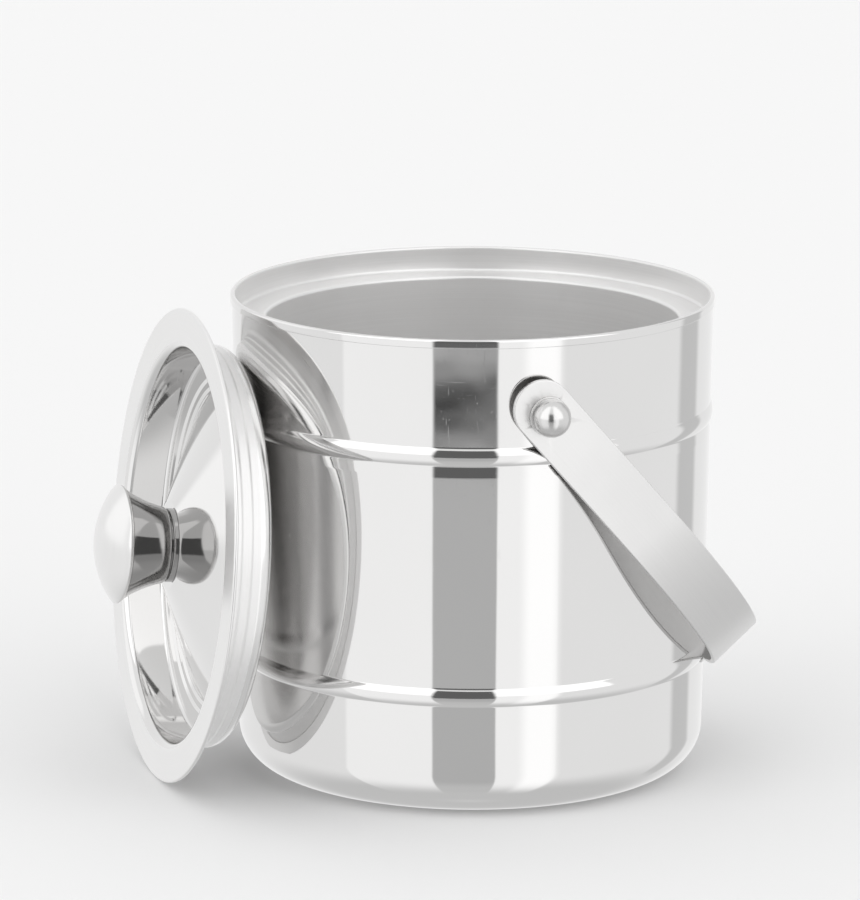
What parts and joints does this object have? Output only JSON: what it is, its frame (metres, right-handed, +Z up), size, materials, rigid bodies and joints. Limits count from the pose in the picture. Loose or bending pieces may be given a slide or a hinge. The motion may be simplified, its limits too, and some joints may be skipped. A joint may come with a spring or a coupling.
{
  "type": "ice bucket",
  "caption": "Double-walled polished steel ice bucket with a rolled rim, two raised beads, a swinging strap bail on ball-headed pivots and a recessed lid with a flared knob, leaning on its side.",
  "frame": {"origin": "centre of the flat base that the bucket stands on", "axes": "+Z up along the bucket's axis; the bail turns about a line along Y and hangs towards +X; the lid leans on the -X side"},
  "size_m": [0.1984, 0.1674, 0.143],
  "materials": {
    "polished_body": "mirror-polished stainless steel",
    "polished_liner": "polished stainless steel, slightly softer than the outside",
    "satin_strap": "satin stainless steel, brushed along the strap",
    "lid_steel": "polished stainless steel with a satin flange",
    "satin_cup": "satin stainless steel, turned marks round the axis",
    "knob_steel": "polished stainless steel",
    "pivot_steel": "polished stainless steel",
    "fastener_steel": "plain turned steel"
  },
  "bodies": {
    "bucket": {"outer_shell": "polished_body", "inner_liner": "polished_liner", "pivot_backing_near": "fastener_steel", "pivot_stud_near": "fastener_steel", "spacer_collar_near": "fastener_steel", "pivot_washer_near": "pivot_steel", "ball_nut_near": "pivot_steel", "pivot_backing_far": "fastener_steel", "pivot_stud_far": "fastener_steel", "spacer_collar_far": "fastener_steel", "pivot_washer_far": "pivot_steel", "ball_nut_far": "pivot_steel"},
    "bail": {"bail_strap": "satin_strap"},
    "lid": {"lid_top_pan": "lid_steel", "lid_bottom_cup": "satin_cup", "knob_cap": "knob_steel", "knob_body": "knob_steel", "knob_base_ring": "knob_steel", "knob_screw": "fastener_steel", "screw_washer": "fastener_steel", "distance_sleeve": "fastener_steel"}
  },
  "joints": [
    {"name": "bail_hinge", "type": "hinge", "parent": "bucket", "child": "bail", "pos_m": [0, 0, 0.121], "axis": [0, -1, 0], "range_deg": [0, 212]},
    {"name": "lid_lift", "type": "slide", "parent": "bucket", "child": "lid", "axis": [-0.7071, 0, 0.7071], "range_m": [0, 0.16]}
  ]
}
